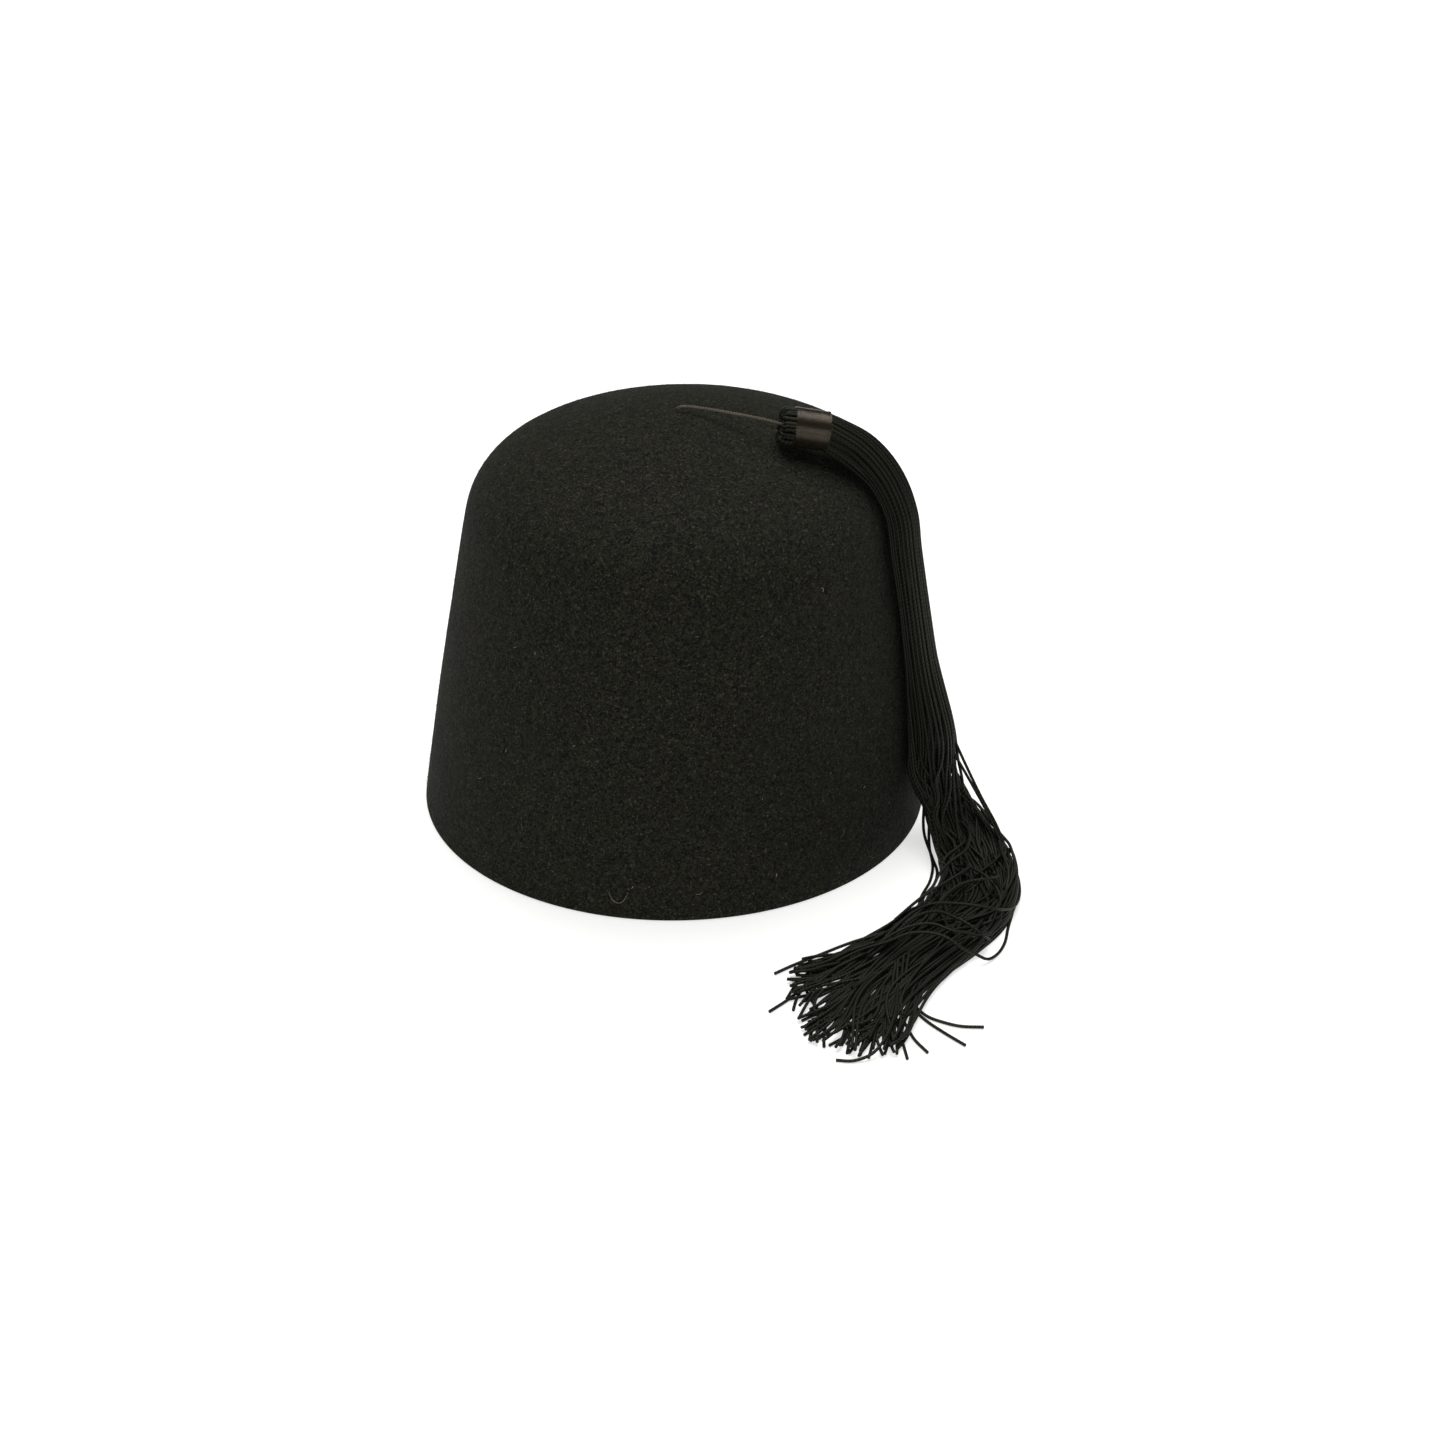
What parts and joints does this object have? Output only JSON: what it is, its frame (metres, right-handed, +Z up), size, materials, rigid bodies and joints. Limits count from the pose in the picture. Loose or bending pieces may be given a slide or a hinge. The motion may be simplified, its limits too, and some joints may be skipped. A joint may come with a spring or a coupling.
{
  "type": "fez hat with tassel",
  "caption": "Tapered black felt cap with a gently domed crown, open below, and a cord tassel that is tied to the middle of the crown and falls over one side.",
  "frame": {"origin": "middle of the head opening, in the plane that the rim rests on", "axes": "+Z up through the crown; the tassel leaves the crown towards +X and its loose end lies towards -Y"},
  "size_m": [0.2219, 0.2607, 0.1651],
  "materials": {
    "black_felt": "matt pressed wool felt",
    "satin_thread": "closely wound satin thread",
    "rayon_cord": "fine knitted cord with a slight sheen"
  },
  "bodies": {
    "root": {"felt_crown": "black_felt", "stem_cord": "rayon_cord", "tassel_loops": "rayon_cord", "tassel_band": "satin_thread", "tassel_skirt": "rayon_cord"}
  },
  "joints": []
}
